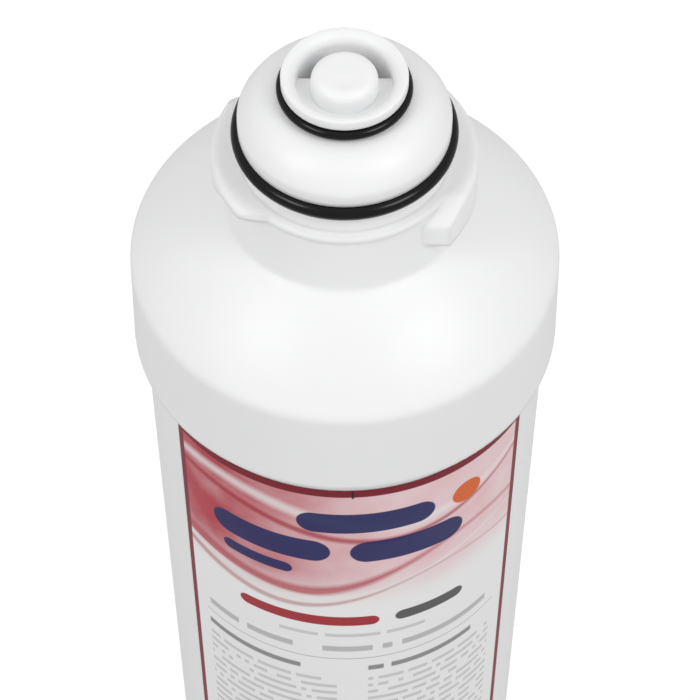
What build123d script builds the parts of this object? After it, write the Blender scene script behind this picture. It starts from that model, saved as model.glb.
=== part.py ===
"""Water boiler filter cartridge: a welded plastic head and sump with a carbon block inside."""
import os
from math import cos, radians, sin, sqrt

from build123d import *

# Millimetres, +Z up, origin on the floor under the axis, the label faces -Y.

# Sump
BODY_H = 245.7          # floor up to the head's rim
SUMP_TOP_R = 35.8
SUMP_DRAFT = 0.9        # the foot is this much narrower than the top
SUMP_WALL = 2.4
FLOOR_T = 2.6
FOOT_ROUND = 5.0
FOOT_LAND = 11.9        # foot's edge in to the hollow
DISH = 2.0              # depth of the hollow under the foot

# Head, outside, built up from the rim
RIM_WALL = 1.85
RIM_ROUND = 0.4
BAND_H = 19.75          # rim to the dome's corner
BAND_DRAFT = 0.5
CORNER_ROUND = 2.6
DOME_H = 13.15          # corner to the neck's foot
DOME_BULGE = 1.2
NECK_R = 19.0
NECK_DRAFT = 0.9
NECK_H = 12.75          # neck's foot to the top of the ledge
NECK_ROUND = 0.8
LEDGE_PROUD = 0.3
LEDGE_T = 1.2
LEDGE_ROUND = 0.5
LAND_W = 1.4            # neck in to the spigot
LAND_H = 3.25           # ledge to the large groove
LIP_H = 2.5             # large groove to the shoulder's edge
SHOULDER_H = 5.3
SHOULDER_BULGE = 1.2
SHOULDER_ROUND = 1.0
TIP_R = 10.33
TIP_H = 1.8             # small groove to the top
TIP_ROUND = 0.35
TIP_LAND = 0.1          # flat left between the tip's rounding and the throat's flare

# Seals and their grooves
LARGE_CORD = 2.62
LARGE_DEPTH = 1.47
LARGE_PLAY = 0.38
SMALL_CORD = 1.78
SMALL_DEPTH = 1.02
SMALL_PLAY = 0.72
NIPPLE_DEPTH = 1.5
NIPPLE_PLAY = 0.6

# Head, inside
SKIRT_DEPTH = 12.3      # rim up to the seat of the sump's top edge
SKIRT_GAP = 0.05
SEAT_W = 1.8
DOME_DROP = 1.3         # the dome's inner face lies this far below its corner and its neck
NECK_WALL = 2.8
SPIGOT_WALL = 2.2
TIP_WALL = 1.31         # small groove in to the throat
THROAT_DEPTH = 9.0
FUNNEL_H = 5.0
OUTLET_WALL = 2.0
OUTLET_R = 5.0
NIPPLE_WALL = 3.5
NIPPLE_UP = 24.3        # rim up to the nipple's shoulder
NIPPLE_CLEAR = 2.0      # nipple's end above the end cap
POST_GAP = 2.55         # throat's wall in to the post
POST_ROUND = 1.6
POST_PROUD = 0.3        # post's top above the tip
POST_L = 9.2
GATE_R = 1.7            # shallow dimple left by the moulding gate
GATE_DEPTH = 0.2
GATE_OFF = 1.9
SHELF_EDGE = 2.4        # the shelf in front of the outlet ends this far behind the axis
SHELF_DROP = 3.7
SHELF_BITE = 0.5        # the shelf runs this far into the throat's wall
INLET_W = 2.4           # curved inlet window
INLET_SPAN = 48.0

# Bayonet lugs
LUG_REACH = 3.3
LUG_SHIFT = 0.35        # the lug's arc is centred this far off the axis
LUG_FOOT = 5.0          # neck's foot up to the lug's underside
LUG_END_Y = 14.5        # flat end, measured across the head
LUG_END_T = 4.6
LUG_CREST_Y = 10.0      # the top falls from here to the flat end
LUG_RAMP_Y = 2.3        # the underside climbs from here
LUG_THIN_Y = -9.5       # to here
LUG_LEAD_T = 1.5
LUG_LEAD_FROM = 51.0    # lead-in, degrees round from the front
LUG_LEAD_TO = 40.0
LUG_LEAD_BULGE = 0.3
LUG_ROUND = 1.2
LUG_BITE = 2.1          # the lug runs this far into the neck's wall

# Label
LABEL_LOW = 58.0
LABEL_TOP_DROP = 3.1    # rim down to the label's top edge
LABEL_SPAN = 114.0
LABEL_TURN = 2.2        # the label sits this far round from the front
LABEL_T = 0.12
LABEL_GAP = 0.16        # glue under the label

# Filter element
ELEMENT_GAP = 1.5       # sump's wall in to the end caps
END_LIP = 0.1           # end caps reach past the net
BLOCK_BORE_R = 9.0
FELT_T = 1.5
NET_T = 0.8
WRAP_GAP = 0.05
END_T = 3.0
PLUG_H = 6.0
PLUG_GAP = 0.1
STAND_R = 16.0
STAND_W = 2.0
STAND_H = 4.0
TOP_CAP_UP = 5.3        # rim up to the underside of the upper end cap
COLLAR_W = 2.9
SOCKET_GAP = 0.1
DRAIN_R = 6.0

CUT_OVER = 1.0          # a cut runs this far past what it cuts

# Heights that follow from the sizes above
rim_z = BODY_H
seat_z = rim_z + SKIRT_DEPTH
corner_z = rim_z + BAND_H
neck_z = corner_z + DOME_H
ledge_z = neck_z + NECK_H
large_low = ledge_z + LAND_H
large_top = large_low + LARGE_CORD + LARGE_PLAY
lip_z = large_top + LIP_H
small_low = lip_z + SHOULDER_H
small_top = small_low + SMALL_CORD + SMALL_PLAY
top_z = small_top + TIP_H
throat_z = top_z - THROAT_DEPTH
block_top = rim_z + TOP_CAP_UP
cap_face = block_top + END_T
nipple_z = rim_z + NIPPLE_UP
nipple_end = cap_face + NIPPLE_CLEAR
floor_z = DISH + FLOOR_T
disc_z = floor_z + STAND_H
block_low = disc_z + END_T

# Radii that follow from the sizes above
foot_r = SUMP_TOP_R - SUMP_DRAFT
foot_in = foot_r - SUMP_WALL
dish_r = foot_r - FOOT_LAND
skirt_r = SUMP_TOP_R + SKIRT_GAP
rim_r = skirt_r + RIM_WALL
corner_r = rim_r - BAND_DRAFT
ledge_r = NECK_R + LEDGE_PROUD
neck_in = NECK_R - NECK_WALL
spigot_r = NECK_R - LAND_W
large_root = spigot_r - LARGE_DEPTH
spigot_in = large_root - SPIGOT_WALL
small_root = TIP_R - SMALL_DEPTH
throat_r = small_root - TIP_WALL
throat_flare = TIP_R - TIP_ROUND - TIP_LAND - throat_r
post_r = throat_r - POST_GAP
outlet_out = throat_r + OUTLET_WALL
nipple_r = OUTLET_R + NIPPLE_WALL
nipple_root = nipple_r - NIPPLE_DEPTH
socket_r = nipple_r + SOCKET_GAP
lug_r = NECK_R + LUG_REACH
element_r = foot_in - ELEMENT_GAP
net_in = element_r - END_LIP - NET_T
felt_in = net_in - WRAP_GAP - FELT_T
block_r = felt_in - WRAP_GAP


def arc(start, end, bulge):
    """Shallow arc from start to end that swells outward and upward."""
    run = abs(end[0] - start[0])
    fall = abs(end[1] - start[1])
    span = sqrt(run * run + fall * fall)
    middle_r = (start[0] + end[0]) / 2 + bulge * fall / span
    middle_z = (start[1] + end[1]) / 2 + bulge * run / span
    return ThreePointArc(start, (middle_r, middle_z), end)


def turned(face):
    """Solid of revolution from a face drawn as radius and height."""
    return revolve(Plane.XZ * face, axis=Axis.Z)


def rounded(face, radius, *spots):
    """The face with its corners nearest the given spots rounded."""
    corners = [face.vertices().sort_by_distance(spot)[0] for spot in spots]
    return fillet(corners, radius)


def tube(outer, inner, low, high):
    """Plain tube between two heights."""
    return turned(make_face(Polyline((inner, low), (outer, low), (outer, high), (inner, high), close=True)))


def ring_seal(root, cord, height):
    """O-ring that sits on the root of its groove."""
    return Pos(0, 0, height) * Torus(root + cord / 2, cord / 2)


# Sump: drafted tube with a rounded, dished foot
sump_outline = make_face(Polyline(
    (0, DISH), (dish_r, DISH), (dish_r + DISH, 0), (foot_r, 0), (SUMP_TOP_R, rim_z), (SUMP_TOP_R, seat_z),
    (SUMP_TOP_R - SUMP_WALL, seat_z), (foot_in, floor_z), (0, floor_z), close=True))
sump_outline = rounded(sump_outline, FOOT_ROUND, (foot_r, 0))
sump_outline = rounded(sump_outline, FOOT_ROUND - SUMP_WALL, (foot_in, floor_z))
sump = turned(sump_outline)

# Head: outside from the throat's edge down to the rim, then back up inside
dome_foot = (NECK_R + NECK_DRAFT, neck_z)
dome_end = (corner_r, corner_z)
shoulder_in = (TIP_R, small_low)
shoulder_out = (spigot_r, lip_z)
inner_corner = (skirt_r - SEAT_W, corner_z - DOME_DROP)
inner_neck = (neck_in, neck_z - DOME_DROP)
seal_z = (nipple_z + nipple_end) / 2
nipple_cord = socket_r - nipple_root
seal_half = (nipple_cord + NIPPLE_PLAY) / 2
head_lines = [
    Polyline((throat_r, top_z), (TIP_R, top_z), (TIP_R, small_top), (small_root, small_top),
             (small_root, small_low), shoulder_in),
    arc(shoulder_in, shoulder_out, SHOULDER_BULGE),
    Polyline(shoulder_out, (spigot_r, large_top), (large_root, large_top), (large_root, large_low),
             (spigot_r, large_low), (spigot_r, ledge_z), (ledge_r, ledge_z), (ledge_r, ledge_z - LEDGE_T),
             (NECK_R, ledge_z - LEDGE_T), dome_foot),
    arc(dome_foot, dome_end, DOME_BULGE),
    Polyline(dome_end, (rim_r, rim_z), (skirt_r, rim_z), (skirt_r, seat_z),
             (skirt_r - SEAT_W, seat_z), inner_corner),
    arc(inner_corner, inner_neck, DOME_BULGE),
    Polyline(inner_neck, (neck_in, ledge_z - LUG_FOOT), (spigot_in, ledge_z), (spigot_in, lip_z),
             (outlet_out, lip_z), (outlet_out, nipple_z), (nipple_r, nipple_z),
             (nipple_r, seal_z + seal_half), (nipple_root, seal_z + seal_half),
             (nipple_root, seal_z - seal_half), (nipple_r, seal_z - seal_half),
             (nipple_r, nipple_end), (OUTLET_R, nipple_end), (OUTLET_R, throat_z - FUNNEL_H),
             (throat_r, throat_z), (throat_r, top_z)),
]
head_outline = make_face(head_lines)
head_outline = rounded(head_outline, TIP_ROUND, (TIP_R, top_z))
head_outline = rounded(head_outline, throat_flare, (throat_r, top_z))
head_outline = rounded(head_outline, SHOULDER_ROUND, shoulder_out)
head_outline = rounded(head_outline, LEDGE_ROUND, (ledge_r, ledge_z))
head_outline = rounded(head_outline, NECK_ROUND, dome_foot)
head_outline = rounded(head_outline, CORNER_ROUND, dome_end)
head_outline = rounded(head_outline, RIM_ROUND, (rim_r, rim_z))
head = turned(head_outline)

# Bayonet lug: a flange with a rounded edge, cut to its plan shape and to its side shape
lug_low = neck_z + LUG_FOOT
lead_low = ledge_z - LUG_LEAD_T
lug_in = NECK_R - LUG_BITE
far = lug_r + CUT_OVER
lead_out = (-lug_r * sin(radians(LUG_LEAD_FROM)), LUG_SHIFT - lug_r * cos(radians(LUG_LEAD_FROM)))
lead_in = (-NECK_R * sin(radians(LUG_LEAD_TO)), -NECK_R * cos(radians(LUG_LEAD_TO)))
lead_mid = tuple((a + b) / 2 for a, b in zip(lead_out, lead_in))
swell = 1 + LUG_LEAD_BULGE / sqrt(lead_mid[0] ** 2 + lead_mid[1] ** 2)
lug_plan = make_face([
    ThreePointArc(lead_out, (lead_mid[0] * swell, lead_mid[1] * swell), lead_in),
    Polyline(lead_in, (0, 0), (0, LUG_END_Y), (-far, LUG_END_Y), (-far, lead_out[1]), lead_out),
])
lug_side = make_face(Polyline(
    (LUG_END_Y, lug_low), (LUG_END_Y, lug_low + LUG_END_T), (LUG_CREST_Y, ledge_z), (-far, ledge_z),
    (-far, lead_low), (LUG_THIN_Y, lead_low), (LUG_RAMP_Y, lug_low), close=True))
flange = make_face(Polyline(
    (lug_in, neck_z), (lug_r, neck_z), (lug_r, ledge_z), (lug_in, ledge_z), close=True))
lug = Pos(0, LUG_SHIFT, 0) * turned(rounded(flange, LUG_ROUND, (lug_r, ledge_z)))
lug &= extrude(Pos(0, 0, neck_z) * lug_plan, NECK_H)
lug &= extrude(Plane.YZ * lug_side, -far)
head += lug
head += Rot(0, 0, 180) * lug

# Post on a half-moon shelf in the throat, with the gate's dimple on its top
post_top = top_z + POST_PROUD
gate_ball = (GATE_R ** 2 + GATE_DEPTH ** 2) / (2 * GATE_DEPTH)
post = Pos(0, 0, post_top - POST_L / 2) * Cylinder(post_r, POST_L)
post = fillet(post.edges().sort_by(Axis.Z)[-1], POST_ROUND)
post -= Pos(0, -GATE_OFF, post_top - GATE_DEPTH + gate_ball) * Sphere(gate_ball)
shelf_r = throat_r + SHELF_BITE
shelf_h = POST_L - POST_PROUD - SHELF_DROP
shelf_z = top_z - SHELF_DROP - shelf_h / 2
shelf_y = SHELF_EDGE - shelf_r
shelf = Pos(0, 0, shelf_z) * Cylinder(shelf_r, shelf_h) & Pos(0, shelf_y, shelf_z) * Box(
    2 * shelf_r, 2 * shelf_r, shelf_h)
head += post
head += shelf

# Inlet window between the two seals, at the back
inlet_r = (outlet_out + spigot_in) / 2
window = tube(inlet_r + INLET_W / 2, inlet_r - INLET_W / 2, lip_z - CUT_OVER, small_low + CUT_OVER)
half = radians(INLET_SPAN / 2)
side = 2 * inlet_r
wedge = make_face(Polyline(
    (0, 0), (side * sin(half), side * cos(half)), (-side * sin(half), side * cos(half)), close=True))
window &= extrude(Pos(0, 0, lip_z - CUT_OVER) * wedge, SHOULDER_H + 2 * CUT_OVER)
head -= window

# Seals
large_seal = ring_seal(large_root, LARGE_CORD, (large_low + large_top) / 2)
small_seal = ring_seal(small_root, SMALL_CORD, (small_low + small_top) / 2)
nipple_seal = ring_seal(nipple_root, nipple_cord, seal_z)


# Label: thin wrap glued to the drafted wall
def label_r(height):
    """Radius of the label's glued side at a height."""
    return foot_r + SUMP_DRAFT * height / rim_z + LABEL_GAP


label_top = rim_z - LABEL_TOP_DROP
low_r = label_r(LABEL_LOW)
high_r = label_r(label_top)
label_section = make_face(Polyline(
    (low_r, LABEL_LOW), (low_r + LABEL_T, LABEL_LOW), (high_r + LABEL_T, label_top), (high_r, label_top),
    close=True))
label = revolve(Plane.XZ * label_section, axis=Axis.Z, revolution_arc=LABEL_SPAN)
label = Rot(0, 0, LABEL_TURN - 90 - LABEL_SPAN / 2) * label

# Filter element: block, felt and net between two end caps
block = tube(block_r, BLOCK_BORE_R, block_low, block_top)
felt = tube(felt_in + FELT_T, felt_in, block_low, block_top)
net = tube(net_in + NET_T, net_in, block_low, block_top)
plug_r = BLOCK_BORE_R - PLUG_GAP
lower_cap = turned(make_face(Polyline(
    (0, disc_z), (STAND_R - STAND_W, disc_z), (STAND_R - STAND_W, floor_z), (STAND_R, floor_z),
    (STAND_R, disc_z), (element_r, disc_z), (element_r, block_low), (plug_r, block_low),
    (plug_r, block_low + PLUG_H), (0, block_low + PLUG_H), close=True)))
collar_r = socket_r + COLLAR_W
upper_cap = turned(make_face(Polyline(
    (DRAIN_R, block_top), (element_r, block_top), (element_r, cap_face), (collar_r, cap_face),
    (collar_r, nipple_z), (socket_r, nipple_z), (socket_r, cap_face), (DRAIN_R, cap_face), close=True)))

os.makedirs("parts", exist_ok=True)
nodes = {
    "head_cap": head,
    "sump": sump,
    "large_o_ring": large_seal,
    "small_o_ring": small_seal,
    "nipple_o_ring": nipple_seal,
    "label": label,
    "carbon_block": block,
    "felt_wrap": felt,
    "net_sleeve": net,
    "upper_end_cap": upper_cap,
    "lower_end_cap": lower_cap,
}
for name, shape in nodes.items():
    export_step(shape, f"parts/{name}.step")
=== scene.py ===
# %% [markdown]
# # Water boiler filter cartridge
# The real thing is a tall white plastic bottle with a welded head. The head ends in a stepped spigot with two
# black ring seals, and it locks in its socket by two bayonet lugs. A printed label wraps the front.
# The solids come ready made as a fixed frame, in metres, so this lesson dresses them: finishes for the
# plastic, the rubber and the hidden filter, a label that is printed and wrapped, and a small white studio.

# %% Load the frame
import math

import bpy
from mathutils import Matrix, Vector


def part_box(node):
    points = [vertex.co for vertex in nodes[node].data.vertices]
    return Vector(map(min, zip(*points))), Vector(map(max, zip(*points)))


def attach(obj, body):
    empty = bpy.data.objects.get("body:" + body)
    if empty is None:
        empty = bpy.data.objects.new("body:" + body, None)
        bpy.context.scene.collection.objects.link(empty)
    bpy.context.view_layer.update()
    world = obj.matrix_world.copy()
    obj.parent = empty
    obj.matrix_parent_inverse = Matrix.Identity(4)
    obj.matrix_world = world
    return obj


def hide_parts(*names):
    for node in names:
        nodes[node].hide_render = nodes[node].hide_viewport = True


MM = 0.001
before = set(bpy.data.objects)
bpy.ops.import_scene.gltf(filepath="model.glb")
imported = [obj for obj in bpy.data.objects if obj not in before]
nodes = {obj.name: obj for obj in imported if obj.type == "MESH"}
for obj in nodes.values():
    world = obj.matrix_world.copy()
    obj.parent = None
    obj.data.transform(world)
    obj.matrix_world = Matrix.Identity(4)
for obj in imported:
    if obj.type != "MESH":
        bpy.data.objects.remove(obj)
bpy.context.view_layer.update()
print("nodes:", ", ".join(sorted(nodes)))


# %% [markdown]
# ## Helpers for finishes
# A finish is a small network of nodes. Made by hand, each node is added and wired with the mouse; here a few
# short helpers do the same, so that each finish below reads as a list of what it does to the surface.
# Every pattern hangs on Object coordinates or on a UV map, so it stays put when the camera moves.

# %% Node helpers
def new_finish(name):
    """A material with its node tree and its main shader."""
    material = bpy.data.materials.new(name)
    material.use_nodes = True
    tree = material.node_tree
    return material, tree, tree.nodes["Principled BSDF"]


def add_node(tree, kind, inputs=None, **settings):
    """One node; an input is a plain value or another node's output."""
    node = tree.nodes.new(kind)
    for name, value in settings.items():
        setattr(node, name, value)
    for name, value in (inputs or {}).items():
        if isinstance(value, bpy.types.NodeSocket):
            tree.links.new(value, node.inputs[name])
        else:
            node.inputs[name].default_value = value
    return node


def noise(tree, place, scale, detail, **more):
    """A cloudy pattern from 0 to 1."""
    inputs = {"Vector": place, "Scale": scale, "Detail": detail, **more}
    return add_node(tree, "ShaderNodeTexNoise", inputs).outputs["Fac"]


def blend(tree, factor, first, second):
    """A colour between two others."""
    mix = add_node(tree, "ShaderNodeMix", {0: factor, 6: first, 7: second}, data_type="RGBA")
    return mix.outputs[2]


def stretch(tree, value, low, high):
    """A value from 0 to 1 stretched to a new range."""
    inputs = {"Value": value, "To Min": low, "To Max": high}
    return add_node(tree, "ShaderNodeMapRange", inputs).outputs["Result"]


def plug(tree, shader, **sockets):
    """Wires outputs to the shader's sockets, named with _ for a space."""
    for name, output in sockets.items():
        tree.links.new(output, shader.inputs[name.replace("_", " ")])


def wear(material, *node_names):
    """Gives CAD nodes their finish."""
    for node_name in node_names:
        mesh = nodes[node_name].data
        mesh.materials.clear()
        mesh.materials.append(material)
    print(material.name, "on", ", ".join(node_names))


# %% [markdown]
# ## White moulded plastic
# The head and the sump are satin white polypropylene. Light sinks a millimetre or two into it and comes out
# again, so shadows stay soft. The mould leaves a faint orange peel that only shows where light slides along
# the surface, and no edge that comes out of it is knife sharp.
# A flat white would look like paper. Two noises are enough: a slow one shifts the tone and the gloss by a few
# percent, and a finer one drives a very low bump. A Bevel node softens the light along the edges, less at the
# spigot's tip, where the seal needs a clean edge. Subsurface scattering does the rest.

# %% White plastic finish
PLASTIC_WHITE = (0.955, 0.957, 0.960, 1.0)
PLASTIC_SHADE = (0.935, 0.938, 0.942, 1.0)
PLASTIC_GLOSS = (0.36, 0.42)
PLASTIC_IOR = 1.49
PLASTIC_SCATTER = 0.35
PLASTIC_TINT = (1.0, 0.97, 0.94)    # red light goes a little deeper than blue
PLASTIC_DEPTH = 1.5 * MM
CLOUD_SCALE = 26.0
PEEL_SCALE = 420.0
PEEL_STRENGTH = 0.25
PEEL_DEPTH = 0.02 * MM
SOFT_EDGE = 1.5 * MM    # on the lugs and the body
CRISP_EDGE = 0.25 * MM  # on the spigot's tip
EDGE_SAMPLES = 6
tip_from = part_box("large_o_ring")[1].z
tip_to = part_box("small_o_ring")[0].z


def white_plastic():
    material, tree, shader = new_finish("white_plastic")
    place = add_node(tree, "ShaderNodeTexCoord").outputs["Object"]
    cloud = noise(tree, place, CLOUD_SCALE, detail=3.0)
    peel = noise(tree, place, PEEL_SCALE, detail=2.0)
    height = add_node(tree, "ShaderNodeSeparateXYZ", {"Vector": place}).outputs["Z"]
    rounding = add_node(tree, "ShaderNodeMapRange", {
        "Value": height, "From Min": tip_from, "From Max": tip_to, "To Min": SOFT_EDGE, "To Max": CRISP_EDGE})
    edges = add_node(tree, "ShaderNodeBevel", {"Radius": rounding.outputs["Result"]}, samples=EDGE_SAMPLES)
    bump = add_node(tree, "ShaderNodeBump", {
        "Height": peel, "Strength": PEEL_STRENGTH, "Distance": PEEL_DEPTH, "Normal": edges.outputs["Normal"]})
    plug(tree, shader, Base_Color=blend(tree, cloud, PLASTIC_WHITE, PLASTIC_SHADE),
         Roughness=stretch(tree, cloud, *PLASTIC_GLOSS), Normal=bump.outputs["Normal"])
    shader.inputs["IOR"].default_value = PLASTIC_IOR
    shader.inputs["Subsurface Weight"].default_value = PLASTIC_SCATTER
    shader.inputs["Subsurface Radius"].default_value = PLASTIC_TINT
    shader.inputs["Subsurface Scale"].default_value = PLASTIC_DEPTH
    return material


wear(white_plastic(), "head_cap", "sump")


# %% [markdown]
# ## Black rubber
# The ring seals are smooth nitrile rubber: nearly black, with a soft highlight and a trace of dusty bloom.
# A fine noise breaks up the gloss, which keeps the thin rings from looking like painted lines. In a white
# room a black gloss turns grey, so its reflection is held down with the specular level.

# %% Rubber finish
RUBBER_BLACK = (0.0015, 0.0015, 0.0018, 1.0)
RUBBER_BLOOM = (0.004, 0.004, 0.0045, 1.0)
RUBBER_GLOSS = (0.16, 0.24)
RUBBER_SHINE = 0.28
BLOOM_SCALE = 900.0
BLOOM_STRENGTH = 0.2
BLOOM_DEPTH = 0.02 * MM


def black_rubber():
    material, tree, shader = new_finish("black_rubber")
    place = add_node(tree, "ShaderNodeTexCoord").outputs["Object"]
    bloom = noise(tree, place, BLOOM_SCALE, detail=4.0)
    bump = add_node(tree, "ShaderNodeBump", {
        "Height": bloom, "Strength": BLOOM_STRENGTH, "Distance": BLOOM_DEPTH})
    plug(tree, shader, Base_Color=blend(tree, bloom, RUBBER_BLACK, RUBBER_BLOOM),
         Roughness=stretch(tree, bloom, *RUBBER_GLOSS), Normal=bump.outputs["Normal"])
    shader.inputs["Specular IOR Level"].default_value = RUBBER_SHINE
    return material


wear(black_rubber(), "large_o_ring", "small_o_ring", "nipple_o_ring")


# %% [markdown]
# ## The label's film
# The label is a printed film, a tenth of a millimetre thick, that wraps a third of the tube. The tube is a
# little narrower at the foot, so the film follows a cone.
# It could be cut out of the tube's own faces, but then it would have no flat sheet to print on. A flat grid
# with a UV map is bent to the tube and tapered instead, and gets its thickness last. Its place is read from
# the CAD label.

# %% Measure the CAD label
EDGE_REACH = 0.1 * MM   # points this near to a height belong to that edge
label_points = [vertex.co.copy() for vertex in nodes["label"].data.vertices]
label_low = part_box("label")[0].z
label_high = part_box("label")[1].z
bearings = [math.atan2(point.x, -point.y) for point in label_points]
label_turn = (max(bearings) + min(bearings)) / 2
label_span = max(bearings) - min(bearings)


def label_radius(height):
    """Outer radius of the CAD label at its top or bottom edge."""
    edge_points = [point for point in label_points if abs(point.z - height) < EDGE_REACH]
    return max(math.hypot(point.x, point.y) for point in edge_points)


print("label span in degrees:", round(math.degrees(label_span), 1))

# %% Cut and wrap the film
FILM_T = 0.12 * MM
FILM_PRESS = 0.1 * MM   # pressed on, so nearer to the tube than the CAD label
FILM_COLUMNS = 96
FILM_ROWS = 32
FILM_CREASE = math.radians(30.0)
top_r = label_radius(label_high) - FILM_PRESS
low_r = label_radius(label_low) - FILM_PRESS
film_r = (top_r + low_r) / 2
film_width = film_r * label_span
film_height = label_high - label_low

bpy.ops.object.select_all(action="DESELECT")
bpy.ops.mesh.primitive_grid_add(x_subdivisions=FILM_COLUMNS, y_subdivisions=FILM_ROWS, size=1.0)
film = bpy.context.object
film.name = "printed_label"
film.scale = (film_width, film_height, 1.0)
film.rotation_euler = (math.pi / 2, 0.0, 0.0)
bpy.ops.object.transform_apply(location=False, rotation=True, scale=True)


def apply_modifier(piece, kind, **settings):
    """Adds one modifier with its settings and applies it."""
    modifier = piece.modifiers.new(kind.lower(), kind)
    for name, value in settings.items():
        setattr(modifier, name, value)
    bpy.ops.object.modifier_apply(modifier=modifier.name)


apply_modifier(film, "SIMPLE_DEFORM", deform_method="BEND", deform_axis="Z", angle=label_span)
film.location = (0.0, -film_r, 0.0)
bpy.ops.object.transform_apply(location=True, rotation=False, scale=False)
apply_modifier(film, "SIMPLE_DEFORM", deform_method="TAPER", deform_axis="Z", factor=(top_r - low_r) / film_r)
film.location = (0.0, 0.0, (label_low + label_high) / 2)
film.rotation_euler = (0.0, 0.0, label_turn)
bpy.ops.object.transform_apply(location=True, rotation=True, scale=False)
apply_modifier(film, "SOLIDIFY", thickness=FILM_T, offset=-1.0)
bpy.ops.object.shade_smooth_by_angle(angle=FILM_CREASE)
print("film in mm:", round(film_width / MM, 1), "by", round(film_height / MM, 1))

# %% Fix the film to the frame
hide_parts("label")
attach(film, "root")
print(film.name, "stands for the CAD label")


# %% [markdown]
# ## Printing tools
# A print is layers of ink on white film. It could be painted as a picture, but shapes drawn by arithmetic
# stay sharp at any distance. The UV map gives each point of the film its distance across from the centre
# line and down from the top edge, in millimetres. A shape is then a distance that is negative inside, and a
# mask made from it lets one ink through.

# %% Places on the film
label_finish, label_tree, label_shader = new_finish("label_print")


def calc(operation, *values):
    """One step of arithmetic."""
    return add_node(label_tree, "ShaderNodeMath", dict(enumerate(values)), operation=operation).outputs[0]


sheet_place = add_node(label_tree, "ShaderNodeTexCoord").outputs["UV"]
sheet_axes = add_node(label_tree, "ShaderNodeSeparateXYZ", {"Vector": sheet_place})
sheet_w = film_width / MM
sheet_h = film_height / MM
across = calc("MULTIPLY_ADD", sheet_axes.outputs["X"], sheet_w, -sheet_w / 2)
down = calc("MULTIPLY_ADD", sheet_axes.outputs["Y"], -sheet_h, sheet_h)
print("print runs from", round(-sheet_w / 2, 1), "to", round(sheet_w / 2, 1), "mm across")

# %% Masks
SHARP = 0.12            # half the width of a printed edge's fade
SWELL_PACE = 0.6        # a ribbon swells more slowly than it waves
SWELL_SHARE = 0.42
MEAN_SHARE = 0.55


def inside(distance, soft=SHARP):
    """Turns a distance into a mask, 1 inside and 0 outside."""
    return add_node(label_tree, "ShaderNodeMapRange", {
        "Value": distance, "From Min": soft, "From Max": -soft}).outputs["Result"]


def fade(value, start, end):
    """0 before the start, 1 after the end, smooth between."""
    inputs = {"Value": value, "From Min": start, "From Max": end}
    ramp = add_node(label_tree, "ShaderNodeMapRange", inputs, interpolation_type="SMOOTHSTEP")
    return ramp.outputs["Result"]


def away(value, middle, half):
    """Distance outside a stretch of that half length."""
    return calc("SUBTRACT", calc("ABSOLUTE", calc("SUBTRACT", value, middle)), half)


def block(left, right, top, bottom):
    """Mask of a plain rectangle."""
    x = away(across, (left + right) / 2, (right - left) / 2)
    y = away(down, (top + bottom) / 2, (bottom - top) / 2)
    return inside(calc("MAXIMUM", x, y))


def bar(left, right, middle, height):
    """Mask of a bar with round ends."""
    x = calc("MAXIMUM", away(across, (left + right) / 2, (right - left - height) / 2), 0.0)
    y = calc("SUBTRACT", down, middle)
    reach = calc("SQRT", calc("MULTIPLY_ADD", x, x, calc("MULTIPLY", y, y)))
    return inside(calc("SUBTRACT", reach, height / 2))


def ribbon(level, rise, swing, wave, shift, width, soft):
    """Mask of a flowing band that swells and thins on its way."""
    turn = calc("MULTIPLY_ADD", across, math.tau / wave, shift)
    slope = calc("MULTIPLY_ADD", across, -rise, level)
    line = calc("MULTIPLY_ADD", calc("SINE", turn), swing, slope)
    pulse = calc("COSINE", calc("MULTIPLY", turn, SWELL_PACE))
    swell = calc("MULTIPLY_ADD", pulse, width * SWELL_SHARE, width * MEAN_SHARE)
    return inside(calc("SUBTRACT", calc("ABSOLUTE", calc("SUBTRACT", down, line)), swell), soft)


def ink(paint, colour, mask, strength=1.0):
    """Prints one colour over what is there."""
    return blend(label_tree, calc("MULTIPLY", mask, strength), paint, colour)


# %% [markdown]
# ## Fields of colour
# The upper part of the label is a red field that pales to pink on the right and to white lower down, with
# flowing ribbons through it. The foot repeats it more quietly.
# Two fades and a soft noise are multiplied to make a field, the way a wash of ink is laid. Each ribbon is a
# sine wave with a swelling width.

# %% Colour fields
FILM_WHITE = (0.95, 0.95, 0.95, 1.0)
FIELD_PINK = (0.86, 0.44, 0.48, 1.0)
FIELD_RED = (0.52, 0.060, 0.085, 1.0)
DEEP_RED = (0.42, 0.015, 0.032, 1.0)
WASH_WHITE = (0.93, 0.88, 0.88, 1.0)
WASH_SCALE = 0.09
WASH_GAIN = 1.1
WASH_LIFT = 0.35
UPPER_FADE = (25.0, 41.0)
FOOT_FADE = (150.0, 176.0)
LEFT_FADE = (-30.0, 12.0)
UPPER_PINK = 0.66
FOOT_PINK = 0.8

wash_place = add_node(label_tree, "ShaderNodeCombineXYZ", {"X": across, "Y": down}).outputs["Vector"]
wash = noise(label_tree, wash_place, WASH_SCALE, detail=4.0)
cloud = calc("MULTIPLY_ADD", wash, WASH_GAIN, WASH_LIFT)
upper = calc("SUBTRACT", 1.0, fade(down, *UPPER_FADE))
foot = fade(down, *FOOT_FADE)
left_side = calc("SUBTRACT", 1.0, fade(across, *LEFT_FADE))

paint = ink(FILM_WHITE, FIELD_PINK, calc("MULTIPLY", upper, cloud), UPPER_PINK)
paint = ink(paint, FIELD_RED, calc("MULTIPLY", calc("MULTIPLY", upper, left_side), cloud))
paint = ink(paint, FIELD_PINK, calc("MULTIPLY", foot, cloud), FOOT_PINK)
print("nodes under the fields:", len(label_tree.nodes))

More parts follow.
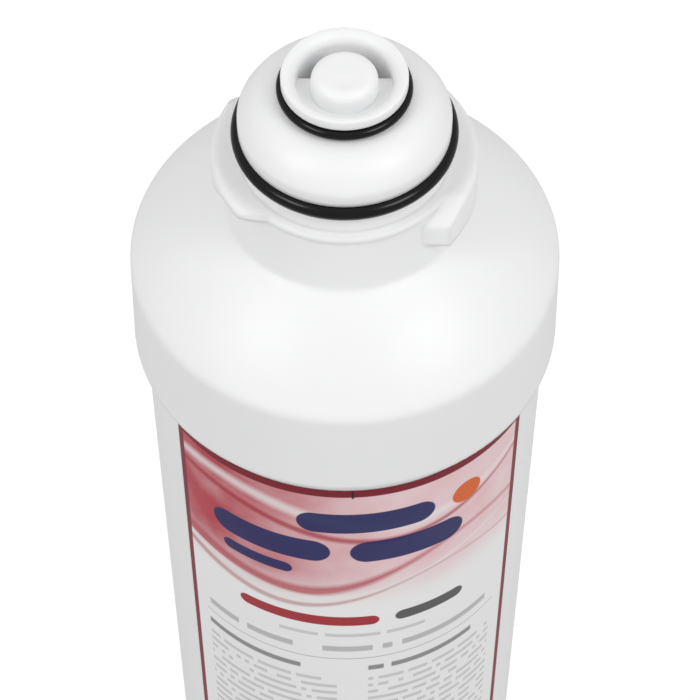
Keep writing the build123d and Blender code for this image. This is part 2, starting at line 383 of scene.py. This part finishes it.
# %% Ribbons
# level, rise, swing, wave, shift, width, soft, colour, strength
upper_ribbons = [
    (9.0, 0.02, 4.2, 76.0, 0.6, 1.5, 0.9, WASH_WHITE, 0.75),
    (12.5, 0.06, 5.0, 84.0, 0.9, 0.9, 0.5, DEEP_RED, 0.75),
    (29.5, 0.16, 3.6, 62.0, 2.4, 2.0, 0.8, FIELD_RED, 0.8),
    (33.0, 0.12, 3.0, 68.0, 2.0, 1.1, 0.5, WASH_WHITE, 0.8),
    (35.5, 0.10, 3.2, 58.0, 2.7, 0.9, 0.4, DEEP_RED, 0.5),
]
foot_ribbons = [
    (163.0, 0.08, 4.0, 70.0, 1.2, 1.6, 0.8, WASH_WHITE, 0.8),
    (169.0, 0.05, 3.5, 64.0, 2.0, 2.2, 0.7, FIELD_RED, 0.7),
    (174.0, 0.07, 3.0, 80.0, 0.3, 1.0, 0.5, DEEP_RED, 0.6),
]
for *shape, colour, strength in upper_ribbons + foot_ribbons:
    paint = ink(paint, colour, ribbon(*shape), strength)
print("ribbons:", len(upper_ribbons) + len(foot_ribbons))


# %% [markdown]
# ## Bars and small print
# Bold navy bars and an orange disc stand on the field, a red and a grey bar under it. Then come rules and two
# columns of print, too small to read from here: rows of short grey dashes.
# A disc is a bar as long as it is high. For the dashes, each row is cut into short cells and a random number
# per cell decides which cells stay empty.

# %% Bars, disc and rules
NAVY = (0.014, 0.022, 0.125, 1.0)
ORANGE = (0.76, 0.135, 0.018, 1.0)
MAROON = (0.40, 0.012, 0.024, 1.0)
GREY_INK = (0.10, 0.10, 0.105, 1.0)
PALE_INK = (0.42, 0.42, 0.43, 1.0)
BAR_STRENGTH = 0.97
RULE_STRENGTH = 0.8
RULE_REACH = 31.0
RULE_T = 0.3
RULE_TOPS = (58.4, 130.8)

# left, right, middle, height, colour
bars = [
    (-10.0, 15.0, 10.6, 6.2, NAVY),
    (18.5, 24.7, 10.6, 6.2, ORANGE),
    (-27.0, -4.0, 20.2, 6.8, NAVY),
    (-0.5, 21.0, 20.2, 6.8, NAVY),
    (-25.0, -11.0, 27.6, 3.2, NAVY),
    (-22.0, 5.0, 44.5, 3.2, MAROON),
    (8.0, 22.0, 44.5, 3.2, GREY_INK),
]
for *shape, colour in bars:
    paint = ink(paint, colour, bar(*shape), BAR_STRENGTH)
for rule_top in RULE_TOPS:
    paint = ink(paint, PALE_INK, block(-RULE_REACH, RULE_REACH, rule_top, rule_top + RULE_T), RULE_STRENGTH)
print("bars:", len(bars), "rules:", len(RULE_TOPS))

# %% Small print
DASH_SOFT = 0.2


def dashes(left, right, top, bottom, pitch, height, cell, gaps):
    """Rows of short dashes with random gaps."""
    row = calc("FLOOR", calc("DIVIDE", calc("SUBTRACT", down, top), pitch))
    level = calc("MULTIPLY_ADD", row, -pitch, calc("SUBTRACT", down, top + pitch / 2))
    column = calc("FLOOR", calc("DIVIDE", across, cell))
    cell_place = add_node(label_tree, "ShaderNodeCombineXYZ", {"X": column, "Y": row}).outputs["Vector"]
    chance = add_node(label_tree, "ShaderNodeTexWhiteNoise", {"Vector": cell_place}).outputs["Value"]
    kept = calc("GREATER_THAN", chance, gaps)
    line = inside(calc("SUBTRACT", calc("ABSOLUTE", level), height / 2), DASH_SOFT)
    return calc("MULTIPLY", calc("MULTIPLY", line, kept), block(left, right, top, bottom))


# left, right, top, bottom, pitch, height, cell, gaps, colour, strength
small_print = [
    (-14.0, 14.0, 48.5, 51.0, 2.5, 1.1, 1.3, 0.15, PALE_INK, 0.5),
    (-30.0, 30.0, 53.0, 56.6, 3.6, 1.9, 1.9, 0.2, GREY_INK, 0.45),
    (-30.5, -10.0, 61.0, 64.0, 3.0, 1.7, 1.5, 0.1, GREY_INK, 0.75),
    (3.0, 25.0, 61.0, 64.0, 3.0, 1.7, 1.5, 0.1, GREY_INK, 0.75),
    (-30.5, -3.0, 65.5, 127.9, 2.6, 1.1, 1.0, 0.24, GREY_INK, 0.32),
    (3.0, 30.5, 65.5, 127.9, 2.6, 1.1, 1.0, 0.24, GREY_INK, 0.32),
    (-30.5, 10.0, 134.0, 147.0, 2.6, 1.1, 1.0, 0.24, GREY_INK, 0.32),
]
for *shape, colour, strength in small_print:
    paint = ink(paint, colour, dashes(*shape), strength)
print("blocks of small print:", len(small_print))


# %% [markdown]
# ## Border and film finish
# A dark red border runs round the label, and a short dark tick at the top marks its middle for the machine
# that sticks it on. The film is coated, so it is a little smoother than the plastic, and it isn't quite flat
# where it was pressed down.

# %% Border and finish of the film
BORDER_RED = (0.225, 0.018, 0.030, 1.0)
BORDER_TOP = 2.0
BORDER_SIDE = 1.4
TICK_INK = (0.03, 0.02, 0.02, 1.0)
TICK_HALF = 0.2
TICK_L = 2.4
FILM_GLOSS = (0.30, 0.40)
FILM_IOR = 1.45
FILM_SHINE = 0.12
RIPPLE_SCALE = 0.12
RIPPLE_STRENGTH = 0.3
RIPPLE_DEPTH = 0.08 * MM

panel = block(BORDER_SIDE - sheet_w / 2, sheet_w / 2 - BORDER_SIDE, BORDER_TOP, sheet_h - BORDER_TOP)
paint = ink(paint, BORDER_RED, calc("SUBTRACT", 1.0, panel))
paint = ink(paint, TICK_INK, block(-TICK_HALF, TICK_HALF, 0.0, TICK_L))

ripple = noise(label_tree, wash_place, RIPPLE_SCALE, detail=1.0)
film_bump = add_node(label_tree, "ShaderNodeBump", {
    "Height": ripple, "Strength": RIPPLE_STRENGTH, "Distance": RIPPLE_DEPTH})
plug(label_tree, label_shader, Base_Color=paint, Roughness=stretch(label_tree, wash, *FILM_GLOSS),
     Normal=film_bump.outputs["Normal"])
label_shader.inputs["IOR"].default_value = FILM_IOR
label_shader.inputs["Specular IOR Level"].default_value = FILM_SHINE
film.data.materials.clear()
film.data.materials.append(label_finish)
print("nodes in the print:", len(label_tree.nodes))


# %% [markdown]
# ## The filter inside
# Inside the closed shell stands a pressed carbon block in a felt and a net, between two moulded end caps.
# None of it shows while the cartridge is whole, but the part may be cut open or taken apart, so each piece
# has its own finish.
# The block, the felt and the caps are noise on Object coordinates. The net is two sets of slanting strands,
# drawn from the angle round the axis and the height. Between the strands it is painted darker: painted
# shade in the holes, over the felt seen through them.

# %% Carbon, felt and end caps
CARBON_DARK = (0.006, 0.006, 0.007, 1.0)
CARBON_GRAIN = (0.040, 0.040, 0.042, 1.0)
FELT_WHITE = (0.80, 0.80, 0.77, 1.0)
FELT_SHADE = (0.66, 0.66, 0.63, 1.0)
FELT_SHEEN = 0.3
CAP_GREY = (0.70, 0.71, 0.72, 1.0)
CAP_SHADE = (0.64, 0.65, 0.66, 1.0)
GRAIN_ROUGH = 0.65
GRAIN_STRENGTH = 0.6


def grainy(name, dark, light, scale, gloss, depth, squeeze=1.0):
    """A matt finish of fine grain, which may be drawn out along the axis."""
    material, tree, shader = new_finish(name)
    place = add_node(tree, "ShaderNodeTexCoord").outputs["Object"]
    drawn = add_node(tree, "ShaderNodeMapping", {"Vector": place, "Scale": (1.0, 1.0, squeeze)})
    grain = noise(tree, drawn.outputs["Vector"], scale, detail=5.0, Roughness=GRAIN_ROUGH)
    bump = add_node(tree, "ShaderNodeBump", {"Height": grain, "Strength": GRAIN_STRENGTH, "Distance": depth})
    plug(tree, shader, Base_Color=blend(tree, grain, dark, light), Roughness=stretch(tree, grain, *gloss),
         Normal=bump.outputs["Normal"])
    return material


carbon = grainy(
    "pressed_carbon", CARBON_DARK, CARBON_GRAIN, scale=1400.0, gloss=(0.75, 0.95), depth=0.15 * MM)
moulding = grainy(
    "matt_moulding", CAP_SHADE, CAP_GREY, scale=500.0, gloss=(0.45, 0.55), depth=0.02 * MM)
felt = grainy(
    "felt", FELT_SHADE, FELT_WHITE, scale=800.0, gloss=(0.85, 1.0), depth=0.2 * MM, squeeze=0.35)
felt.node_tree.nodes["Principled BSDF"].inputs["Sheen Weight"].default_value = FELT_SHEEN
wear(carbon, "carbon_block")
wear(moulding, "upper_end_cap", "lower_end_cap")
wear(felt, "felt_wrap")

# %% Net
NET_STRAND = (0.78, 0.80, 0.82, 1.0)
# colour between the strands: the felt seen through the holes, darkened as painted shade
NET_HOLE_SHADE = (0.50, 0.51, 0.52, 1.0)
NET_STRANDS = 40.0
NET_SLOPE = 1250.0
NET_GLOSS = (0.6, 0.4)
NET_STRENGTH = 0.8
NET_DEPTH = 0.4 * MM


def net_finish():
    material, tree, shader = new_finish("plastic_net")

    def step(operation, *values):
        return add_node(tree, "ShaderNodeMath", dict(enumerate(values)), operation=operation).outputs[0]

    place = add_node(tree, "ShaderNodeTexCoord").outputs["Object"]
    axes = add_node(tree, "ShaderNodeSeparateXYZ", {"Vector": place})
    round_axis = step("MULTIPLY", step("ARCTAN2", axes.outputs["Y"], axes.outputs["X"]), NET_STRANDS)
    climb = step("MULTIPLY", axes.outputs["Z"], NET_SLOPE)
    one_way = step("SINE", step("ADD", round_axis, climb))
    other_way = step("SINE", step("SUBTRACT", round_axis, climb))
    # a sine runs from -1 to 1, and half of it plus a half from 0 to 1
    strand = step("MULTIPLY_ADD", step("MAXIMUM", one_way, other_way), 0.5, 0.5)
    bump = add_node(tree, "ShaderNodeBump", {
        "Height": strand, "Strength": NET_STRENGTH, "Distance": NET_DEPTH})
    # painted shade: the holes between the strands are darker than the strands
    plug(tree, shader, Base_Color=blend(tree, strand, NET_HOLE_SHADE, NET_STRAND),
         Roughness=stretch(tree, strand, *NET_GLOSS), Normal=bump.outputs["Normal"])
    return material


wear(net_finish(), "net_sleeve")


# %% [markdown]
# ## The studio
# The photograph is a catalogue picture: a white ground, and light so soft that it comes from everywhere. The
# camera looks down on the head through a long lens. A long lens keeps the sides nearly parallel, so the place
# and the lens have to be set together.

# %% Camera
PHOTO_SIDE = 700.0
FOCAL_PX = 2700.0
SENSOR = 36.0
LOOK_DOWN = math.radians(54.0)
LOOK_AT = (0.88 * MM, 0.0, 234.6 * MM)
CAMERA_RANGE = 492.7 * MM
CLIP_START = 0.01

camera_data = bpy.data.cameras.new("camera")
camera = bpy.data.objects.new("camera", camera_data)
bpy.context.scene.collection.objects.link(camera)
bpy.context.scene.camera = camera
camera_data.sensor_width = SENSOR
camera_data.lens = FOCAL_PX * SENSOR / PHOTO_SIDE
camera_data.clip_start = CLIP_START
camera.location = (
    LOOK_AT[0],
    LOOK_AT[1] - CAMERA_RANGE * math.cos(LOOK_DOWN),
    LOOK_AT[2] + CAMERA_RANGE * math.sin(LOOK_DOWN),
)
camera.rotation_euler = (math.pi / 2 - LOOK_DOWN, 0.0, 0.0)
print("lens in mm:", round(camera_data.lens, 1))


# %% [markdown]
# ## Floor and light
# In the photograph the ground is pure white, the top of the head is nearly so, and the upright walls are a
# little greyer. The light is so soft that no shadow has an edge.
# A white ground would throw as much light up at the walls as the ceiling throws down, and they would be
# white too. So the floor is seen by the camera but left out of the light's bounces, and an even, pale room
# takes its place below.
# Two softboxes, left and right of the camera, give the dome its sheen and the black seals their highlights.

# %% Floor
FLOOR_SIDE = 6.0
FLOOR_PALE = (0.68, 0.68, 0.68, 1.0)
FLOOR_WHITE = (0.72, 0.72, 0.72, 1.0)
FLOOR_SCALE = 3.0
FLOOR_ROUGH = 0.9
FLOOR_SHINE = 0.1
FLOOR_GLOW = 0.5        # lit from below, as a light table is
WHITE = (1.0, 1.0, 1.0, 1.0)

bpy.ops.object.select_all(action="DESELECT")
bpy.ops.mesh.primitive_plane_add(size=FLOOR_SIDE, location=(0.0, 0.0, 0.0))
floor = bpy.context.object
floor.name = "floor"
floor_finish, floor_tree, floor_shader = new_finish("pale_floor")
floor_place = add_node(floor_tree, "ShaderNodeTexCoord").outputs["Object"]
floor_cloud = noise(floor_tree, floor_place, FLOOR_SCALE, detail=2.0)
plug(floor_tree, floor_shader, Base_Color=blend(floor_tree, floor_cloud, FLOOR_PALE, FLOOR_WHITE))
floor_shader.inputs["Roughness"].default_value = FLOOR_ROUGH
floor_shader.inputs["Specular IOR Level"].default_value = FLOOR_SHINE
floor_shader.inputs["Emission Color"].default_value = WHITE
floor_shader.inputs["Emission Strength"].default_value = FLOOR_GLOW
floor.data.materials.append(floor_finish)
floor.visible_diffuse = False
floor.visible_glossy = False
floor.visible_transmission = False
floor.visible_shadow = False
print("floor side in m:", FLOOR_SIDE)

# %% Room
ROOM_WALL = 0.60
ROOM_CEILING = 0.68
ROOM_CURVE = 2.0        # the ceiling's light gathers overhead

world = bpy.data.worlds.new("white_room")
bpy.context.scene.world = world
world.use_nodes = True
room_tree = world.node_tree
room_way = add_node(room_tree, "ShaderNodeTexCoord").outputs["Generated"]
room_axes = add_node(room_tree, "ShaderNodeSeparateXYZ", {"Vector": room_way})
room_rise = add_node(room_tree, "ShaderNodeMath", {0: room_axes.outputs["Z"], 1: 0.0}, operation="MAXIMUM")
room_height = add_node(
    room_tree, "ShaderNodeMath", {0: room_rise.outputs[0], 1: ROOM_CURVE}, operation="POWER")
room_light = stretch(room_tree, room_height.outputs[0], ROOM_WALL, ROOM_CEILING)
room_tree.links.new(room_light, room_tree.nodes["Background"].inputs["Strength"])
room_tree.nodes["Background"].inputs["Color"].default_value = WHITE
bpy.context.scene.view_settings.view_transform = "Standard"
print("room light:", ROOM_WALL, "at the walls,", ROOM_CEILING, "overhead")

# %% Softboxes
BOX_SIDE = 0.45
LEFT_WATTS = 3.0
RIGHT_WATTS = 3.6
BOX_REACH = 1.2
BOX_RISE = math.radians(45.0)
BOX_TURN = math.radians(55.0)
BOX_AIM = 0.25


def add_softbox(name, turn, watts):
    """A square light that looks at the head from a turn to the left or right."""
    box_data = bpy.data.lights.new(name, "AREA")
    box_data.size = BOX_SIDE
    box_data.energy = watts
    box = bpy.data.objects.new(name, box_data)
    bpy.context.scene.collection.objects.link(box)
    flat_reach = BOX_REACH * math.cos(BOX_RISE)
    box.location = (
        flat_reach * math.sin(turn),
        -flat_reach * math.cos(turn),
        BOX_AIM + BOX_REACH * math.sin(BOX_RISE),
    )
    box.rotation_euler = (math.pi / 2 - BOX_RISE, 0.0, turn)
    print(name, "of", watts, "W")


add_softbox("left_softbox", -BOX_TURN, LEFT_WATTS)
add_softbox("right_softbox", BOX_TURN, RIGHT_WATTS)
